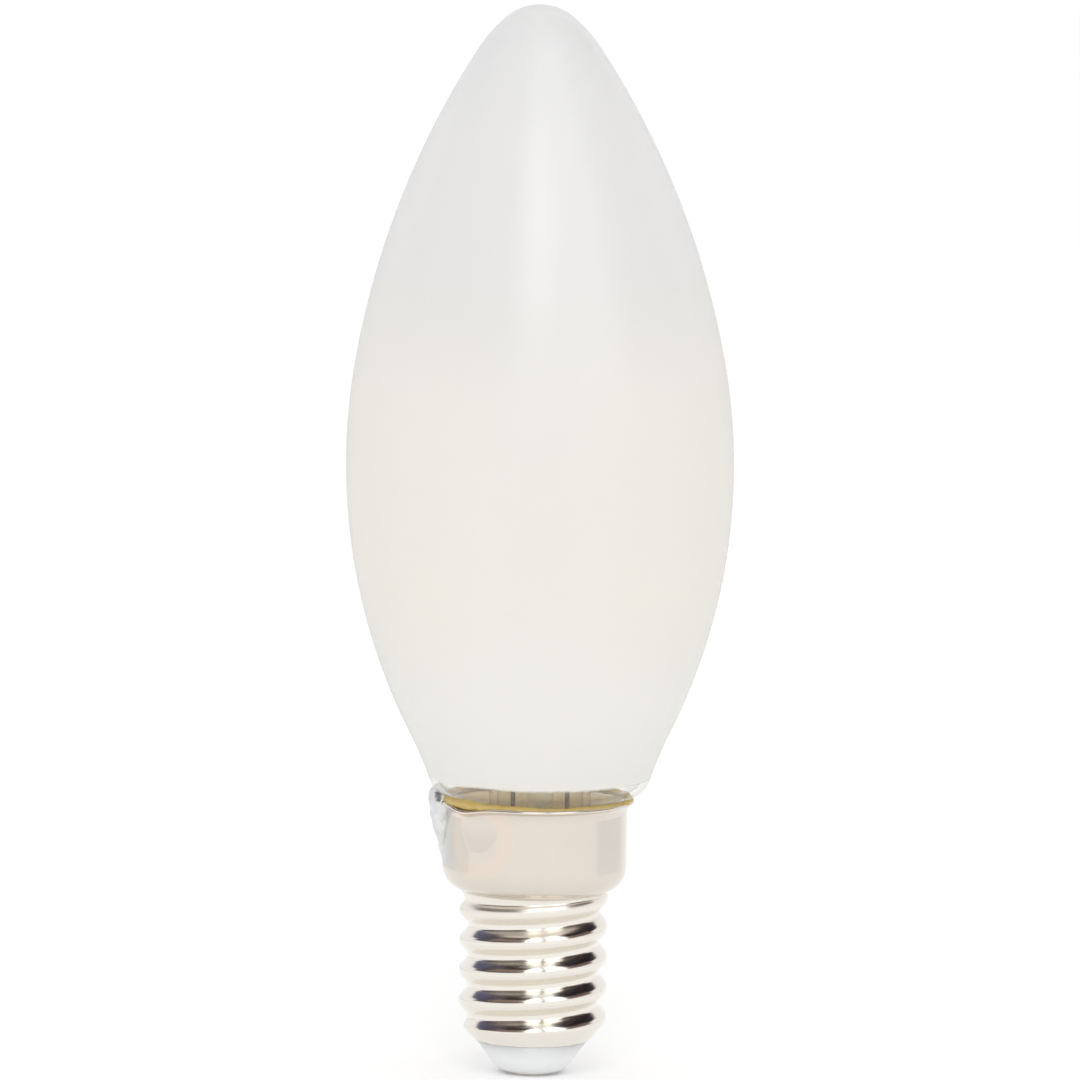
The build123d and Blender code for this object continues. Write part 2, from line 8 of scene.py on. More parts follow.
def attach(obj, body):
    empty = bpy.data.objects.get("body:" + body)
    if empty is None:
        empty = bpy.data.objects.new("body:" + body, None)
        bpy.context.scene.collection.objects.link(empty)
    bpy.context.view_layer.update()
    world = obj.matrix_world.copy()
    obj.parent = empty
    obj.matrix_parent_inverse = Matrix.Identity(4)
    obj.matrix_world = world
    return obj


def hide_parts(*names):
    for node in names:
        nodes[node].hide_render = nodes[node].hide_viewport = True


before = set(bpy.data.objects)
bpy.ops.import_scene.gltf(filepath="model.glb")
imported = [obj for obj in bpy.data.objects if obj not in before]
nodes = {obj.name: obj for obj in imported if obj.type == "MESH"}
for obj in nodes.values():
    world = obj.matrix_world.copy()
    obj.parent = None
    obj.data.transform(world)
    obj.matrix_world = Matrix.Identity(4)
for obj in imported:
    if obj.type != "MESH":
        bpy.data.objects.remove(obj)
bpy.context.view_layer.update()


# Blown envelope
# The bulb is blown glass, opal coated on the inside down to a ragged edge above the cap, and clear
# below it. It stands a little out of true, because the cement let it tilt as it set.

MM = 0.001
LEAN = radians(0.9)
NECK_SHIFT = 0.43
RIM_Z = 25.4
GLASS_FOOT = NECK_SHIFT + RIM_Z * tan(LEAN)
UPRIGHT_SEAT = Matrix.Scale(MM, 4)
GLASS_SEAT = UPRIGHT_SEAT @ Matrix.Translation((GLASS_FOOT, 0, 0)) @ Matrix.Rotation(-LEAN, 4, "Y")
CROWN_Z = 98.98
BULB_ARCS = (
    (4.74, 39.86), (13.2, 17.14), (77.69, 23.1), (55.2, 36.49), (-35.7, 7.67), (2.6, 46.1), (-2.2, 65.02),
)
ARC_STEP = 1.2
FEWEST_STEPS = 6
NECK_END_Z = 19.6
GLASS_WALL = 0.6
GLASS_SEGMENTS = 160
GLASS_IOR = 1.45
GLASS_ROUGHNESS = 0.03
CLEAR_TINT = (0.995, 0.992, 0.984, 1)
GRAZED_TINT = (0.62, 0.6, 0.57, 1)
TINT_POWER = 5
WHITE = (1, 1, 1, 1)
OPAL_ROUGHNESS = 0.26
OPAL_IOR = 1.5
LIT_THROUGH = 0.45
EDGE_SHADE_SHARE = 0.5
EDGE_SHADE_POWER = 9
COATING_EDGE_Z = 27.45
COATING_WANDER = 0.35
COATING_SLOPE = 0.01
COATING_FADE = (-0.14, 0.18)
PAINTED_TOP_SHADE_Z = (30, 60)
FILAMENT_TURNS = (45, 135, 225, 315)
PAINTED_FILAMENT_OUT = (9.35, 17.0)
PAINTED_FILAMENT_FROM_Z = (34, 46)
PAINTED_FILAMENT_TO_Z = (62, 76)
PAINTED_FILAMENT_SHARE = 0.5


def swing(bm, vert, centre, angle, steps):
    """Swing a vertex about a centre in the XZ plane, drawing an arc, and return the arc's end."""
    turned = bmesh.ops.spin(
        bm, geom=[vert], cent=(centre[0], 0, centre[1]), axis=(0, 1, 0), angle=angle, steps=steps
    )
    return next(item for item in turned["geom_last"] if isinstance(item, bmesh.types.BMVert))


def reach(bm, vert, x, z):
    """Draw a straight edge from a vertex to a point in the XZ plane, and return its end."""
    drawn = bmesh.ops.extrude_vert_indiv(bm, verts=[vert])["verts"][0]
    drawn.co = (x, 0, z)
    return drawn


def turn_round(bm, segments):
    """Spin everything drawn so far once round the Z axis, and close the seam and the poles."""
    bmesh.ops.spin(
        bm, geom=bm.verts[:] + bm.edges[:], cent=(0, 0, 0), axis=(0, 0, 1), angle=2 * pi, steps=segments,
        use_merge=True,
    )
    bmesh.ops.remove_doubles(bm, verts=bm.verts[:], dist=1e-4)
    face_out(bm)


def face_out(bm):
    """Point every face outwards, going by the face that lies furthest from the axis."""
    bm.faces.index_update()
    bmesh.ops.recalc_face_normals(bm, faces=bm.faces[:])
    middles = [(hypot(*face.calc_center_median()[:2]), face.index, face) for face in bm.faces]
    _, _, widest = max(middles)
    middle = widest.calc_center_median()
    if widest.normal.x * middle.x + widest.normal.y * middle.y < 0:
        bmesh.ops.reverse_faces(bm, faces=bm.faces[:])


def meshed(name, bm):
    """Turn a finished bmesh into a mesh."""
    mesh = bpy.data.meshes.new(name)
    bm.to_mesh(mesh)
    bm.free()
    return mesh


def put(name, data):
    """Put a mesh, a light or a camera into the scene."""
    made = bpy.data.objects.new(name, data)
    bpy.context.scene.collection.objects.link(made)
    return made


def piece(name, bm, seat, slot, *replaced):
    """Make a piece that rides on the lamp and stands for the CAD nodes named."""
    bmesh.ops.transform(bm, matrix=seat, verts=bm.verts[:])
    for face in bm.faces:
        face.smooth = True
    made = put(name, meshed(name, bm))
    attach(made, "root")
    if replaced:
        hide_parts(*replaced)
    return made


def give_wall(made, thickness, inner_slot=0):
    """Give an open skin its wall, inwards from the surface drawn."""
    wall = made.modifiers.new("wall", "SOLIDIFY")
    wall.thickness = thickness * MM
    wall.offset = -1
    wall.use_even_offset = True
    wall.material_offset = inner_slot


class Wire:
    """A shader socket that can be written into sums."""

    def __init__(self, finish, socket):
        self.finish, self.socket = finish, socket

    def sum(self, operation, first, second):
        return self.finish.node("Math", {0: first, 1: second}, operation=operation)

    def __add__(self, other):
        return self.sum("ADD", self, other)

    def __sub__(self, other):
        return self.sum("SUBTRACT", self, other)

    def __rsub__(self, other):
        return self.sum("SUBTRACT", other, self)

    def __mul__(self, other):
        return self.sum("MULTIPLY", self, other)

    def __pow__(self, other):
        return self.sum("POWER", self, other)

    __radd__ = __add__
    __rmul__ = __mul__


class Finish:
    """A material, or the world, as it is made: any node by its type, its settings and its sockets."""

    def __init__(self, name, kind="materials"):
        self.owner = getattr(bpy.data, kind).new(name)
        self.owner.use_nodes = True
        self.tree = self.owner.node_tree
        self.tree.nodes.clear()

    def node(self, kind, sockets=None, output=0, **settings):
        made = self.tree.nodes.new("ShaderNode" + kind)
        for key, value in settings.items():
            setattr(made, key, value)
        for key, value in (sockets or {}).items():
            if isinstance(value, Wire):
                self.tree.links.new(value.socket, made.inputs[key])
            else:
                made.inputs[key].default_value = value
        return Wire(self, made.outputs[output])

    def place(self):
        """Object coordinates in millimetres."""
        spot = self.node("TexCoord", output="Object")
        return self.node("VectorMath", {0: spot, "Scale": 1 / MM}, operation="SCALE")

    def axes(self, spot):
        """The x, y and z of a place."""
        return [self.node("SeparateXYZ", {0: spot}, output=axis) for axis in "XYZ"]

    def noise(self, spot, size, detail=2.0):
        """Even noise from 0 to 1 whose features are about the given size in millimetres."""
        return self.node("TexNoise", {"Vector": spot, "Scale": 1 / size, "Detail": detail})

    def ease(self, value, low, high):
        """Smooth step from 0 at low to 1 at high."""
        sockets = {"Value": value, "From Min": low, "From Max": high}
        return self.node("MapRange", sockets, interpolation_type="SMOOTHSTEP")

    def blend(self, share, first, second):
        """Mix two colours."""
        return self.node("Mix", {0: share, 6: first, 7: second}, output=2, data_type="RGBA")

    def mix(self, share, first, second):
        """Mix two surfaces."""
        return self.node("MixShader", {0: share, 1: first, 2: second})

    def bump(self, height, depth):
        """Bump of the given depth in millimetres."""
        return self.node("Bump", {"Height": height, "Distance": depth * MM, "Strength": 1.0})

    def principled(self, **sockets):
        return self.node("BsdfPrincipled", {key.replace("_", " "): value for key, value in sockets.items()})

    def facing(self):
        """0 where the surface faces the eye, 1 where it is grazed."""
        return self.node("LayerWeight", {"Blend": 0.5}, output="Facing")

    def thin_glass(self):
        """Thin wall of clear glass, which is darker and shines more at the edges."""
        clear = self.node("BsdfTransparent", {"Color": CLEAR_TINT})
        grazed = self.node("BsdfTransparent", {"Color": GRAZED_TINT})
        through = self.mix(self.facing() ** TINT_POWER, clear, grazed)
        shine = self.node("BsdfGlossy", {"Color": WHITE, "Roughness": GLASS_ROUGHNESS})
        from_behind = self.node("NewGeometry", output="Backfacing")
        gleam = self.node("Fresnel", {"IOR": GLASS_IOR + from_behind * (1 / GLASS_IOR - GLASS_IOR)})
        return self.mix(gleam, through, shine)

    def done(self, surface, end="OutputMaterial"):
        """Send a surface to the output, and return the material or the world."""
        out = self.tree.nodes.new("ShaderNode" + end)
        self.tree.links.new(surface.socket, out.inputs["Surface"])
        return self.owner


def colour(red, green, blue):
    """Linear colour from the 0 to 255 values that a picture shows."""
    def linear(level):
        level /= 255
        return level / 12.92 if level <= 0.04045 else ((level + 0.055) / 1.055) ** 2.4
    return (linear(red), linear(green), linear(blue), 1.0)


def opal_glass():
    finish = Finish("opal_glass")
    spot = finish.place()
    x, y, z = finish.axes(spot)
    height = z * cos(LEAN) - (x - GLASS_FOOT) * sin(LEAN)
    # Painted light: warm stripes in front of the four filaments stand in for their yellow showing through
    # the coating.
    painted_filament_tint = 0.0
    for turn in FILAMENT_TURNS:
        towards = x * cos(radians(turn)) + y * sin(radians(turn))
        one_filament_tint = finish.ease(towards, *PAINTED_FILAMENT_OUT) * finish.ease(height, *PAINTED_FILAMENT_FROM_Z)
        painted_filament_tint = painted_filament_tint + one_filament_tint * (1 - finish.ease(height, *PAINTED_FILAMENT_TO_Z))
    # Painted shade: the body is painted from white low down to grey at the top, to even out the key lamp
    # that lights the top most.
    body = finish.blend(finish.ease(height, *PAINTED_TOP_SHADE_Z), colour(253, 253, 250), colour(243, 243, 244))
    body = finish.blend(painted_filament_tint * PAINTED_FILAMENT_SHARE, body, colour(253, 251, 245))
    coated = finish.principled(
        Base_Color=body,
        Roughness=OPAL_ROUGHNESS,
        IOR=OPAL_IOR,
        Normal=finish.bump(finish.noise(spot, size=0.25, detail=3.0), depth=0.01),
    )
    lit_through = finish.node("BsdfTranslucent", {"Color": body})
    coated = finish.mix(LIT_THROUGH, coated, lit_through)
    # Painted shade: a grey copy of the coating is mixed in where the surface is grazed, darkening the
    # body's edges.
    grazed = finish.principled(Base_Color=colour(186, 186, 188), Roughness=OPAL_ROUGHNESS, IOR=OPAL_IOR)
    coated = finish.mix(finish.facing() ** EDGE_SHADE_POWER * EDGE_SHADE_SHARE, coated, grazed)
    ragged = finish.noise(spot, size=2.0) * COATING_WANDER + COATING_EDGE_Z - x * COATING_SLOPE
    edge = finish.ease(height - ragged, *COATING_FADE)
    return finish.done(finish.mix(edge, finish.thin_glass(), coated))


def clear_glass():
    finish = Finish("clear_glass")
    return finish.done(finish.thin_glass())


bm = bmesh.new()
pen = bm.verts.new((0, 0, CROWN_Z))
heading = 0.0
for radius, turn in BULB_ARCS:
    side = 1 if radius > 0 else -1
    centre = (pen.co.x - radius * sin(heading), pen.co.z - radius * cos(heading))
    steps = max(FEWEST_STEPS, round(abs(radius) * radians(turn) / ARC_STEP))
    pen = swing(bm, pen, centre, side * radians(turn), steps)
    heading += side * radians(turn)
reach(bm, pen, pen.co.x, NECK_END_Z)
turn_round(bm, GLASS_SEGMENTS)
envelope = piece("envelope", bm, GLASS_SEAT, "opal_glass", "glass_envelope")
envelope.data.materials.append(opal_glass())
envelope.data.materials.append(clear_glass())
give_wall(envelope, GLASS_WALL, inner_slot=1)


# Cap shell
# The cap is drawn from one plated sheet. Its right-hand thread is rolled in, the shoulder rises to a
# skirt with a flared lip, and a knock has left a shallow dent in the skirt beside the solder.

PITCH = 2.822
CREST_R = 6.84
ROOT_R = 6.04
CREST_ARC = 0.8
ROOT_ARC = 0.35
THREAD_FLANK = radians(43)
CREST_AT_RIGHT_Z = 5.27
THREAD_TURNS = 7
THREAD_SEGMENTS = 144
RUN_OUT = (radians(-260), radians(-100))
FOOT_Z = 3.1
FOOT_R = 5.2
FOOT_ROUND = 0.08
FOOT_EDGE = 0.03
CORNER_GIVE = 0.06
COLLAR_Z = 16.93
COLLAR_R = 6.63
COLLAR_FLARE = 0.36
COLLAR_FROM_Z = 16.65
COLLAR_GAP = 0.05
COLLAR_TOP = (COLLAR_R + 0.12, COLLAR_Z + 0.09)
SHOULDER_EDGE = (7.23, 17.3)
SHOULDER_CENTRE = (6.203, 19.354)
SHOULDER_TURN = radians(63.43)
SKIRT_R = 8.5
SKIRT_SEGMENTS = 280
FLARE_Z = 24.4
LIP_R = 9.15
SHEET = 0.3
DENT_TURN = radians(232)
DENT_HALF_WIDTH = 2.35
DENT_SHOULDER_Z = 23.9
DENT_DROP = 2.6
DENT_ROUNDING = 1.5
DENT_DEPTH = 0.65
DENT_FADE_Z = FLARE_Z - 0.5
SAG_TURN = radians(222)
SAG_DEPTH = 0.45
SAG_SPREAD = 0.24
SAG_FROM_Z = FLARE_Z - 0.6
PLATE_ROUGHNESS = 0.14
STREAK_ROUGHNESS = 0.05
STREAK_STRETCH = (0.15, 0.15, 3.0)
WORN_ROUGHNESS = 0.14
WORN_FROM_Z = (14.2, 15.0)
WORN_TO_Z = (16.2, 17.0)
THREAD_TO_SKIRT_Z = (16.6, 17.4)
PEACH_RING_Z = 22.6
PEACH_RING_FROM = (3.0, 7.5)
PEACH_RING_TO = (8.0, 18.0)
PEACH_RING_SHARE = 0.25


def smooth(value, low, high):
    """Smooth step from 0 at low to 1 at high."""
    share = min(max((value - low) / (high - low), 0.0), 1.0)
    return share * share * (3 - 2 * share)


def soft_min(first, second):
    """Lower of two lengths, with the corner between them rounded."""
    return -CORNER_GIVE * log(exp(-first / CORNER_GIVE) + exp(-second / CORNER_GIVE))


def run(bm, pen, length, slope, steps):
    """Draw a straight run from a vertex, sloping outwards by an angle from the vertical, in steps."""
    step = length / steps
    for _ in range(steps):
        pen = reach(bm, pen, pen.co.x + step * sin(slope), pen.co.z + step * cos(slope))
    return pen


def thread_pitch():
    """One pitch of root, flank, crest, flank and root, drawn upwards at the right of the cap."""
    round_depth = (CREST_ARC + ROOT_ARC) * (1 - cos(THREAD_FLANK))
    straight = (CREST_R - ROOT_R - round_depth) / sin(THREAD_FLANK)
    flat = PITCH / 2 - (CREST_ARC + ROOT_ARC) * sin(THREAD_FLANK) - straight * cos(THREAD_FLANK)
    crest_z = CREST_AT_RIGHT_Z - 2 * PITCH
    bm = bmesh.new()
    pen = bm.verts.new((ROOT_R, 0, crest_z - PITCH / 2))
    pen = run(bm, pen, flat, 0, steps=3)
    pen = swing(bm, pen, (ROOT_R + ROOT_ARC, pen.co.z), THREAD_FLANK, steps=5)
    pen = run(bm, pen, straight, THREAD_FLANK, steps=4)
    pen = swing(bm, pen, (CREST_R - CREST_ARC, crest_z), -2 * THREAD_FLANK, steps=14)
    pen = run(bm, pen, straight, -THREAD_FLANK, steps=4)
    pen = swing(bm, pen, (ROOT_R + ROOT_ARC, crest_z + PITCH / 2 - flat), THREAD_FLANK, steps=5)
    run(bm, pen, flat, 0, steps=3)
    return bm


def rolled_thread():
    """The thread wound up the cap, cut off level, and run out into the cap's foot and its collar."""
    bm = thread_pitch()
    bmesh.ops.spin(
        bm, geom=bm.verts[:] + bm.edges[:], cent=(0, 0, 0), axis=(0, 0, 1), angle=2 * pi,
        steps=THREAD_SEGMENTS, dvec=(0, 0, PITCH / THREAD_SEGMENTS),
    )
    first_turn = bm.verts[:] + bm.edges[:] + bm.faces[:]
    for turn in range(1, THREAD_TURNS):
        copied = bmesh.ops.duplicate(bm, geom=first_turn)["geom"]
        risen = [item for item in copied if isinstance(item, bmesh.types.BMVert)]
        bmesh.ops.translate(bm, vec=(0, 0, turn * PITCH), verts=risen)
    bmesh.ops.remove_doubles(bm, verts=bm.verts[:], dist=1e-3)
    for height, clear_above in ((FOOT_Z, False), (COLLAR_Z, True)):
        bmesh.ops.bisect_plane(
            bm, geom=bm.verts[:] + bm.edges[:] + bm.faces[:], plane_co=(0, 0, height), plane_no=(0, 0, 1),
            clear_outer=clear_above, clear_inner=not clear_above,
        )
    for vert in bm.verts:
        radius = hypot(vert.co.x, vert.co.y)
        fitted = run_out_radius(radius, atan2(vert.co.y, vert.co.x), vert.co.z)
        vert.co.x *= fitted / radius
        vert.co.y *= fitted / radius
    return bm


def run_out_radius(radius, turn, height):
    """Radius of a point of the thread once it runs out, is closed in at the foot and meets the collar."""
    turn += 2 * pi * round((height - CREST_AT_RIGHT_Z) / PITCH - turn / (2 * pi))
    fitted = ROOT_R + (radius - ROOT_R) * smooth(turn, *RUN_OUT)
    above = height - FOOT_Z
    closed_in = FOOT_R + FOOT_ROUND + above - FOOT_ROUND * exp(-above / FOOT_ROUND)
    fitted = soft_min(fitted, closed_in)
    collar = COLLAR_R - COLLAR_FLARE * (COLLAR_Z - height)
    fitted = -soft_min(-fitted, -collar)
    fitted += (COLLAR_R - fitted) * smooth(height, COLLAR_FROM_Z, COLLAR_Z)
    return fitted + (FOOT_R - fitted) * smooth(-above, -FOOT_EDGE, 0)


def drawn_skirt():
    """The collar's top, the shoulder, the skirt and its flared lip."""
    flare_out = LIP_R - SKIRT_R
    flare_up = RIM_Z - FLARE_Z
    lip_bend = (flare_out**2 + flare_up**2) / (2 * flare_out)
    bm = bmesh.new()
    pen = bm.verts.new((COLLAR_R, 0, COLLAR_Z + COLLAR_GAP))
    pen = reach(bm, pen, *COLLAR_TOP)
    pen = reach(bm, pen, *SHOULDER_EDGE)
    pen = swing(bm, pen, SHOULDER_CENTRE, -SHOULDER_TURN, steps=12)
    pen = run(bm, pen, FLARE_Z - SHOULDER_CENTRE[1], 0, steps=36)
    swing(bm, pen, (SKIRT_R + lip_bend, FLARE_Z), atan2(flare_up, lip_bend - flare_out), steps=10)
    turn_round(bm, SKIRT_SEGMENTS)
    return meshed("skirt", bm)


def open_loop(bm, height):
    """Edges of the open border that lies at a height."""
    rims = [edge for edge in bm.edges if edge.is_boundary]
    return [edge for edge in rims if abs(edge.verts[0].co.z - height) < COLLAR_GAP / 2]


def nickel():
    finish = Finish("nickel_plate")
    spot = finish.place()
    x, y, z = finish.axes(spot)
    handled = finish.noise(spot, size=3.0)
    drawn_out = finish.node("VectorMath", {0: spot, 1: STREAK_STRETCH}, operation="MULTIPLY")
    streaks = finish.noise(drawn_out, size=0.6)
    worn = finish.ease(z, *WORN_FROM_Z) * (1 - finish.ease(z, *WORN_TO_Z))
    # A peach ring is tinted into the plate round the dent.
    right = x - SKIRT_R * cos(DENT_TURN)
    back = y - SKIRT_R * sin(DENT_TURN)
    above = z - PEACH_RING_Z
    away_squared = right * right + back * back + above * above
    peach_ring = finish.ease(away_squared, *PEACH_RING_FROM) * (1 - finish.ease(away_squared, *PEACH_RING_TO))
    base = finish.blend(handled, colour(217, 209, 199), colour(222, 214, 204))
    base = finish.blend(finish.ease(z, *THREAD_TO_SKIRT_Z), colour(235, 230, 221), base)
    base = finish.blend(peach_ring * PEACH_RING_SHARE, base, colour(240, 214, 190))
    return finish.done(
        finish.principled(
            Base_Color=base,
            Metallic=1.0,
            Roughness=streaks * STREAK_ROUGHNESS + worn * WORN_ROUGHNESS + PLATE_ROUGHNESS,
            Normal=finish.bump(handled, depth=0.01),
        )
    )


bm = rolled_thread()
bm.from_mesh(drawn_skirt())
bmesh.ops.bridge_loops(bm, edges=open_loop(bm, COLLAR_Z) + open_loop(bm, COLLAR_Z + COLLAR_GAP))

dent_out = Vector((cos(DENT_TURN), sin(DENT_TURN), 0))
for vert in bm.verts:
    below = min(max((DENT_SHOULDER_Z - vert.co.z) / DENT_DROP, 0.0), 1.0)
    half_width = DENT_HALF_WIDTH * sqrt(1 - below**DENT_ROUNDING)
    proud = vert.co.dot(dent_out) - sqrt(SKIRT_R**2 - half_width**2)
    if below < 1 and proud > 0:
        vert.co -= dent_out * proud * DENT_DEPTH * (1 - smooth(vert.co.z, DENT_FADE_Z, RIM_Z))
    if vert.co.z > SAG_FROM_Z:
        turn = (atan2(vert.co.y, vert.co.x) - SAG_TURN + pi) % (2 * pi) - pi
        vert.co.z -= SAG_DEPTH * exp(-((turn / SAG_SPREAD) ** 2)) * smooth(vert.co.z, SAG_FROM_Z, RIM_Z)
face_out(bm)
cap = piece("cap", bm, UPRIGHT_SEAT, "nickel_plate", "cap_shell")
plate = nickel()
cap.data.materials.append(plate)
give_wall(cap, SHEET)


# Solder
# Soft solder, melted on by hand, ties the neutral wire to the rim in a lumpy blob that runs down the
# skirt. Smaller joints of it hold the wires on the board.

SOLDER_X = -8.4
SOLDER_SECTIONS = (
    (19.7, 0.12, 0.25), (21.2, 0.47, 0.9), (22.6, 0.93, 1.8), (24.0, 1.36, 2.6),
    (25.4, 1.44, 3.0), (26.4, 1.3, 2.4), (26.62, 0.9, 1.7), (26.66, 0.3, 0.6),
)
SOLDER_SEGMENTS = 72
LONG_RISE = 0.8
RISE_CUTS = 11
SMOOTHING = 6
SOLDER_LUMPS = ((0.16, 0.8), (0.06, 2.6))
LUMPS_FROM_Z = (19.7, 21.5)
BESIDE_GLASS_Z = 25.2
BESIDE_GLASS_X = -7.4
GLASS_SLOPE = 1.2
LUMPS_SIDEWAYS = 0.5
SOLDER_ROUGHNESS = 0.22
SOLDER_DULLING = 0.25


def solder():
    finish = Finish("solder")
    spot = finish.place()
    wrinkle = finish.noise(spot, size=1.2, detail=4.0)
    return finish.done(
        finish.principled(
            Base_Color=finish.blend(wrinkle, colour(202, 202, 203), colour(236, 236, 236)),
            Metallic=1.0,
            Roughness=finish.noise(spot, size=0.7) * SOLDER_DULLING + SOLDER_ROUGHNESS,
            Normal=finish.bump(wrinkle, depth=0.12),
        )
    )


def lumps(place, sizes):
    """Unevenness at a place, from the height of each kind of lump and how many fill a millimetre."""
    return sum(height * noise.noise(place * pace) for height, pace in sizes)


def dress(material, *names):
    """Give CAD nodes their finish."""
    for name in names:
        shell = nodes[name]
        shell.data.materials.clear()
        shell.data.materials.append(material)


dress(solder(), "lead_solder_left", "lead_solder_right", "neutral_solder")
bm = bmesh.new()
ring = bmesh.ops.create_circle(bm, segments=SOLDER_SEGMENTS, radius=1.0, cap_ends=False)["verts"]
last = (0.0, 1.0, 1.0)
for height, half_depth, half_width in SOLDER_SECTIONS:
    if height > SOLDER_SECTIONS[0][0]:
        top_edges = [edge for edge in bm.edges if all(vert in ring for vert in edge.verts)]
        drawn = bmesh.ops.extrude_edge_only(bm, edges=top_edges)
        ring = [item for item in drawn["geom"] if isinstance(item, bmesh.types.BMVert)]
    bmesh.ops.scale(bm, vec=(half_depth / last[1], half_width / last[2], 1), verts=ring)
    bmesh.ops.translate(bm, vec=(0, 0, height - last[0]), verts=ring)
    last = (height, half_depth, half_width)
bmesh.ops.holes_fill(bm, edges=[edge for edge in bm.edges if edge.is_boundary])
rising = [edge for edge in bm.edges if abs(edge.verts[0].co.z - edge.verts[1].co.z) > LONG_RISE]
bmesh.ops.subdivide_edges(bm, edges=rising, cuts=RISE_CUTS, use_grid_fill=True)
for _ in range(SMOOTHING):
    bmesh.ops.smooth_vert(
        bm, verts=bm.verts[:], factor=0.5, use_axis_x=True, use_axis_y=True, use_axis_z=False
    )
bmesh.ops.translate(bm, vec=(SOLDER_X, 0, 0), verts=bm.verts[:])
for vert in bm.verts:
    outward = Vector((vert.co.x - SOLDER_X, vert.co.y * LUMPS_SIDEWAYS, 0)).normalized()
    vert.co += outward * lumps(vert.co, SOLDER_LUMPS) * smooth(vert.co.z, *LUMPS_FROM_Z)
    if vert.co.z > BESIDE_GLASS_Z:
        inner_x = BESIDE_GLASS_X - GLASS_SLOPE * (vert.co.z - BESIDE_GLASS_Z)
        vert.co.x = min(vert.co.x, inner_x)
bmesh.ops.recalc_face_normals(bm, faces=bm.faces[:])
blob = piece("solder_blob", bm, UPRIGHT_SEAT, "solder", "rim_solder")
blob.data.materials.append(solder())


# Cement
# Golden cement, baked hard, holds the neck in the skirt. Some of it has risen between the lip and the
# glass in an uneven roll, thickest at the front left.

BEAD_R = 8.62
BEAD_Z = 25.57
BEAD_SHIFT = 0.12
BEAD_SIZE = 0.33
BEAD_SEGMENTS = 300
BEAD_LUMPS = ((0.35, 0.9), (0.12, 4.0))
SMEAR_TURN = radians(216)
SMEAR_SPREAD = 0.5
SMEAR_SIZE = 0.5
SMEAR_RISE = 0.2


def cement(name, dark, light):
    finish = Finish(name)
    grain = finish.noise(finish.place(), size=0.5, detail=6.0)
    return finish.done(
        finish.principled(
            Base_Color=finish.blend(grain, colour(*dark), colour(*light)),
            Roughness=0.55,
            Normal=finish.bump(grain, depth=0.08),
        )
    )


# Painted light: the cement seen through the neck is a much paler copy of the cement, standing in for light
# that hardly reaches it behind the glass.
dress(cement("cement_painted_light_behind_glass", (242, 224, 184), (251, 238, 212)), "basing_cement")
bm = bmesh.new()
bmesh.ops.create_circle(bm, segments=12, radius=BEAD_SIZE)
bmesh.ops.rotate(bm, matrix=Matrix.Rotation(pi / 2, 3, "X"), verts=bm.verts[:])
bmesh.ops.translate(bm, vec=(BEAD_R, 0, BEAD_Z), verts=bm.verts[:])
turn_round(bm, BEAD_SEGMENTS)
for vert in bm.verts:
    turn = atan2(vert.co.y, vert.co.x)
    core = Vector((BEAD_R * cos(turn), BEAD_R * sin(turn), BEAD_Z))
    apart = (turn - SMEAR_TURN + pi) % (2 * pi) - pi
    smear = SMEAR_SIZE * exp(-((apart / SMEAR_SPREAD) ** 2))
    girth = (1 + lumps(vert.co, BEAD_LUMPS)) * (1 + smear)
    vert.co = core + (vert.co - core) * girth + Vector((0, 0, SMEAR_RISE * smear))
bead = piece("cement_bead", bm, UPRIGHT_SEAT @ Matrix.Translation((BEAD_SHIFT, 0, 0)), "basing_cement")
bead.data.materials.append(cement("basing_cement", (186, 156, 78), (214, 190, 122)))


# Insulator and contact
# A cone of smooth white plastic, moulded round the closed-in lip, keeps the contact apart from the
# cap. The contact is a plated disc on its tip, held by a rivet.

INSULATOR_FOOT = (2.72, 0.3)
HEEL_ROUND = 0.75
HEEL_TURN = radians(53)
CONE_EDGE = (5.18, 3.09)
LIP_GROOVE = ((4.85, 3.12), (4.85, 3.4))
INSIDE_CAP = ((5.4, 4.0), (5.4, 5.0), (0, 5.0))
INSULATOR_SEGMENTS = 160


def white_insulator():
    finish = Finish("white_insulator")
    spot = finish.place()
    cloud = finish.noise(spot, size=2.0)
    return finish.done(
        finish.principled(
            Base_Color=finish.blend(cloud, colour(236, 237, 238), colour(241, 242, 243)),
            Roughness=0.3,
            Normal=finish.bump(finish.noise(spot, size=0.8), depth=0.01),
        )
    )


foot_r, foot_z = INSULATOR_FOOT
bm = bmesh.new()
pen = bm.verts.new((0, 0, foot_z))
pen = reach(bm, pen, foot_r, foot_z)
pen = swing(bm, pen, (foot_r, foot_z + HEEL_ROUND), -HEEL_TURN, steps=8)
for point in (CONE_EDGE, *LIP_GROOVE, *INSIDE_CAP):
    pen = reach(bm, pen, *point)
turn_round(bm, INSULATOR_SEGMENTS)
cone = piece("insulator_cone", bm, UPRIGHT_SEAT, "white_insulator", "insulator")
cone.data.materials.append(white_insulator())
dress(plate, "centre_contact")


# Stem and lead wires
# The stem is clear lead-free glass, pressed flat round the wires and sealed to the end of the neck.
# Its wires are drawn nickel iron, dull where they were welded.

WIRE_STARTS = ("lead_in", "cross_wire", "anchor_wire")
WIRE_ENDS = ("_wire", "_tab", "fuse_lead")
TUBE_PAINTED_HIGHLIGHT = 0.2


def wire_metal():
    finish = Finish("wire_metal")
    drawn = finish.noise(finish.place(), size=0.6)
    return finish.done(
        finish.principled(
            Base_Color=finish.blend(drawn, colour(120, 116, 112), colour(168, 164, 158)),
            Metallic=1.0,
            Roughness=0.35,
        )
    )


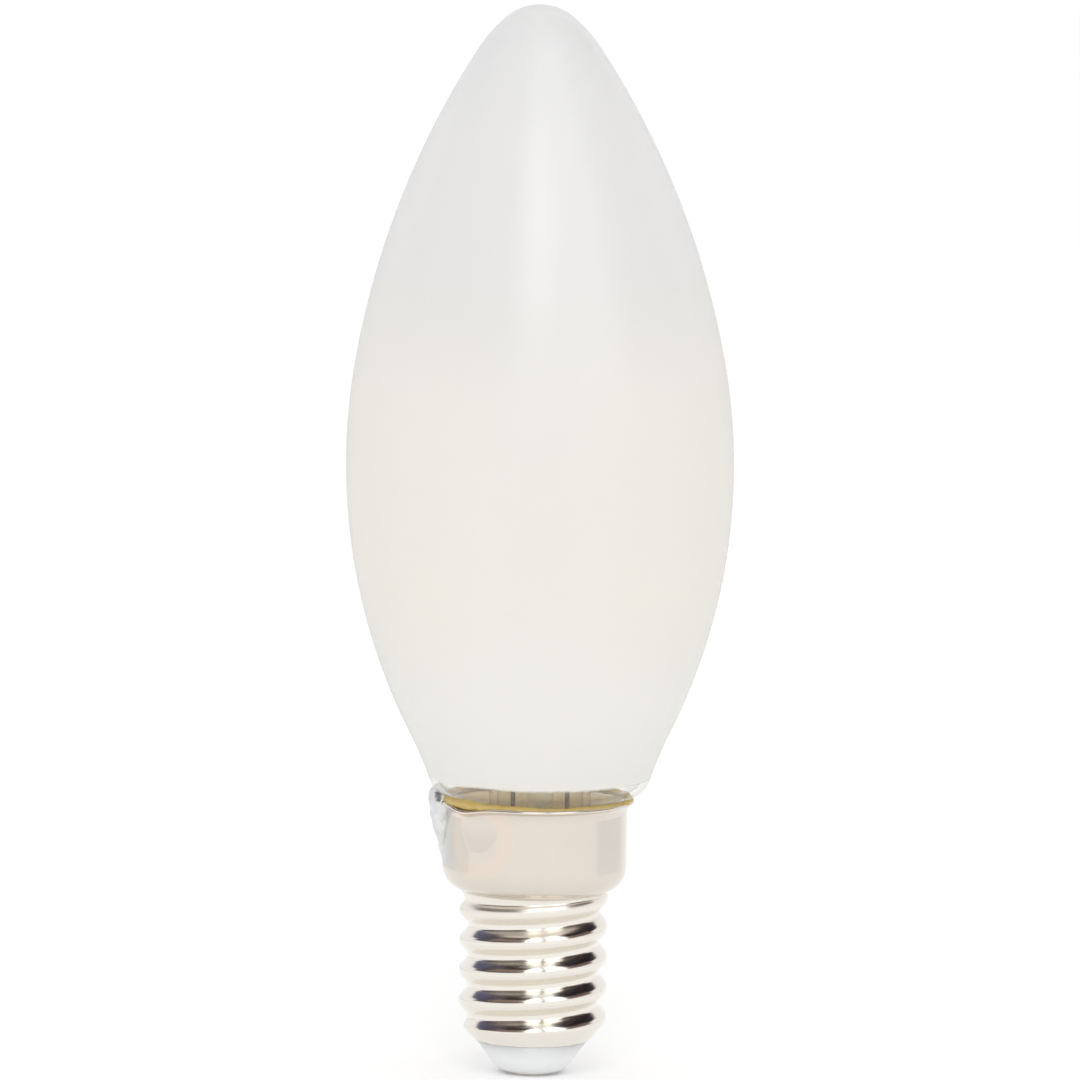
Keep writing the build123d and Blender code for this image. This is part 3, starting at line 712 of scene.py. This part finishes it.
def melted_glass():
    finish = Finish("melted_glass")
    cloud = finish.noise(finish.place(), size=1.0)
    # Painted highlight: a pale, mottled share mixed into the tube's clear glass stands in for the bright
    # gleam of its melted tip.
    painted_highlight = finish.principled(
        Base_Color=finish.blend(cloud, colour(226, 224, 206), colour(240, 239, 226)),
        Roughness=0.3,
    )
    return finish.done(finish.mix(TUBE_PAINTED_HIGHLIGHT, finish.thin_glass(), painted_highlight))


dress(clear_glass(), "stem_flare", "stem_column")
dress(melted_glass(), "exhaust_tube")
metal = wire_metal()
for name in nodes:
    if name.startswith(WIRE_STARTS) or name.endswith(WIRE_ENDS):
        dress(metal, name)


# Filaments
# Four strips of blue chips, each under a stick of yellow phosphor in clear silicone. Their metal ends
# are welded to the wires.

def phosphor():
    finish = Finish("phosphor")
    grain = finish.noise(finish.place(), size=0.8)
    return finish.done(
        finish.principled(
            Base_Color=finish.blend(grain, colour(240, 196, 70), colour(248, 214, 110)),
            Roughness=0.45,
            Coat_Weight=0.3,
        )
    )


glow = phosphor()
for number in range(1, len(FILAMENT_TURNS) + 1):
    dress(glow, f"filament_{number}")


# Driver
# A small board stands in the thread inside a shrunk sleeve. It carries a rectifier, a chip, a capacitor
# and resistors, soldered on, and feeds the filaments a steady current.

def plain(name, dark, light, rough, metallic=0.0, grain=1.0):
    finish = Finish(name)
    mottle = finish.noise(finish.place(), size=grain)
    return finish.done(
        finish.principled(
            Base_Color=finish.blend(mottle, colour(*dark), colour(*light)),
            Metallic=metallic,
            Roughness=rough,
        )
    )


dress(plain("board", (214, 218, 212), (230, 232, 228), 0.4), "driver_board")
dress(plain("sleeve", (196, 198, 198), (214, 216, 216), 0.35), "driver_sleeve")
dress(
    plain("chip_black", (20, 20, 22), (34, 34, 36), 0.5, grain=0.4),
    "bridge_rectifier", "driver_ic", "sense_resistor_1", "sense_resistor_2", "inlet_resistor",
)
dress(plain("capacitor_can", (128, 132, 138), (158, 162, 168), 0.3, metallic=0.8), "smoothing_capacitor")
dress(plain("resistor_body", (52, 110, 96), (70, 132, 116), 0.35), "fusible_resistor")


# Studio
# A white tent and a white floor light the lamp evenly, with one soft key lamp in front. Cards that only
# reflections see, dark flags and bright softboxes, give the plate its bands and the thread its streaks.

TENT_LIGHT = 0.94
FLOOR_SIZE = 6.0
FLOOR_WHITE = (0.97, 0.97, 0.97, 1)
FLOOR_LIFT = 0.08
TENT_R = 0.8
FLOOR_CARD_R = 0.12
SOFTBOX_LIGHT = 1.9
SKY_CARDS = (
    ("flag_far_left", (-142, -112), (28, 88), (92, 92, 118)),
    ("flag_left_side", (-112, -88), (16, 88), (84, 80, 92)),
    ("flag_left_low", (-88, -16), (16, 27), (64, 54, 52)),
    ("flag_left", (-88, -16), (27, 56), (136, 120, 112)),
    ("flag_left_high", (-88, -16), (56, 88), (48, 38, 36)),
    ("softbox_left", (-14, 11), (14, 70), (255, 255, 255)),
    ("flag_between", (12, 19), (16, 88), (120, 106, 92)),
    ("softbox_right", (20, 53), (14, 70), (255, 255, 255)),
    ("flag_right", (56, 108), (16, 42), (116, 98, 92)),
    ("flag_right_high", (56, 108), (42, 88), (36, 28, 34)),
    ("flag_far_right", (108, 144), (30, 88), (34, 26, 32)),
)
FLOOR_CARDS = (
    ("screen_left", (-180, -116), (0, 6), (240, 245, 251)),
    ("screen_left_front", (-116, -88), (0, 6), (249, 251, 253)),
    ("screen_right", (82, 136), (0, 6), (249, 250, 253)),
)
KEY_PLACE = Vector((0.0, -0.9, 0.75))
KEY_TARGET = Vector((0.0, 0.0, 0.05))
KEY_SIZE = 0.5
KEY_POWER = 2.2
CAMERA_FAR = 1.2
CAMERA_RISE = radians(7.2)
VIEW_SPAN = 0.09936
SENSOR = 36
AIM = Vector((0.00005, 0.0, 0.04957))


def not_lit(finish):
    """1 for the rays of the camera, of reflections and through glass, 0 for those that light a surface."""
    seen, mirrored, through = (
        finish.node("LightPath", output=f"Is {kind} Ray") for kind in ("Camera", "Glossy", "Transmission")
    )
    return finish.node("Math", {0: seen + mirrored, 1: through}, operation="MAXIMUM")


def tent():
    finish = Finish("tent", "worlds")
    strength = not_lit(finish) * (1 - TENT_LIGHT) + TENT_LIGHT
    return finish.done(finish.node("Background", {"Color": WHITE, "Strength": strength}), "OutputWorld")


def floor_paper():
    finish = Finish("floor")
    lit = finish.node("BsdfDiffuse", {"Color": FLOOR_WHITE})
    lift = finish.node("Emission", {"Color": WHITE, "Strength": not_lit(finish) * FLOOR_LIFT})
    return finish.done(finish.node("AddShader", {0: lit, 1: lift}))


def reflection_card(name, far, azimuths, heights, tone):
    """Card that only reflections see, by its degrees from the camera's side and from the floor."""
    left, right = (radians(azimuth) for azimuth in azimuths)
    low, high = (radians(height) for height in heights)
    bm = bmesh.new()
    corner = bm.verts.new((far * cos(low), 0, far * sin(low)))
    swing(bm, corner, (0, 0), low - high, steps=8)
    bmesh.ops.spin(
        bm, geom=bm.verts[:] + bm.edges[:], cent=(0, 0, 0), axis=(0, 0, 1), angle=right - left, steps=16
    )
    bmesh.ops.rotate(bm, matrix=Matrix.Rotation(left - pi / 2, 3, "Z"), verts=bm.verts[:])
    card = put(name, meshed(name, bm))
    card.visible_camera = False
    card.visible_diffuse = False
    card.visible_transmission = False
    card.visible_shadow = False
    finish = Finish(name)
    strength = SOFTBOX_LIGHT if name.startswith("softbox") else 1.0
    glowing = finish.node("Emission", {"Color": colour(*tone), "Strength": strength})
    card.data.materials.append(finish.done(glowing))


bpy.context.scene.world = tent()

bm = bmesh.new()
bmesh.ops.create_grid(bm, x_segments=1, y_segments=1, size=FLOOR_SIZE)
paper = put("floor", meshed("floor", bm))
paper.data.materials.append(floor_paper())

for name, azimuths, heights, tone in SKY_CARDS:
    reflection_card(name, TENT_R, azimuths, heights, tone)
for name, azimuths, heights, tone in FLOOR_CARDS:
    reflection_card(name, FLOOR_CARD_R, azimuths, heights, tone)

key_light = bpy.data.lights.new("key", "AREA")
key_light.size = KEY_SIZE
key_light.energy = KEY_POWER
key = put("key", key_light)
key.location = KEY_PLACE
key.rotation_euler = (KEY_TARGET - KEY_PLACE).to_track_quat("-Z", "Y").to_euler()

sight = bpy.data.cameras.new("camera")
sight.sensor_width = SENSOR
sight.lens = SENSOR * CAMERA_FAR / VIEW_SPAN
camera = put("camera", sight)
camera.location = AIM + Vector((0, -cos(CAMERA_RISE), sin(CAMERA_RISE))) * CAMERA_FAR
level = (AIM - camera.location).to_track_quat("-Z", "Y").to_matrix().to_4x4()
camera.rotation_euler = (level @ Matrix.Rotation(LEAN, 4, "Z")).to_euler()
bpy.context.scene.camera = camera
bpy.context.scene.view_settings.view_transform = "Standard"
bpy.context.scene.cycles.transparent_max_bounces = 32
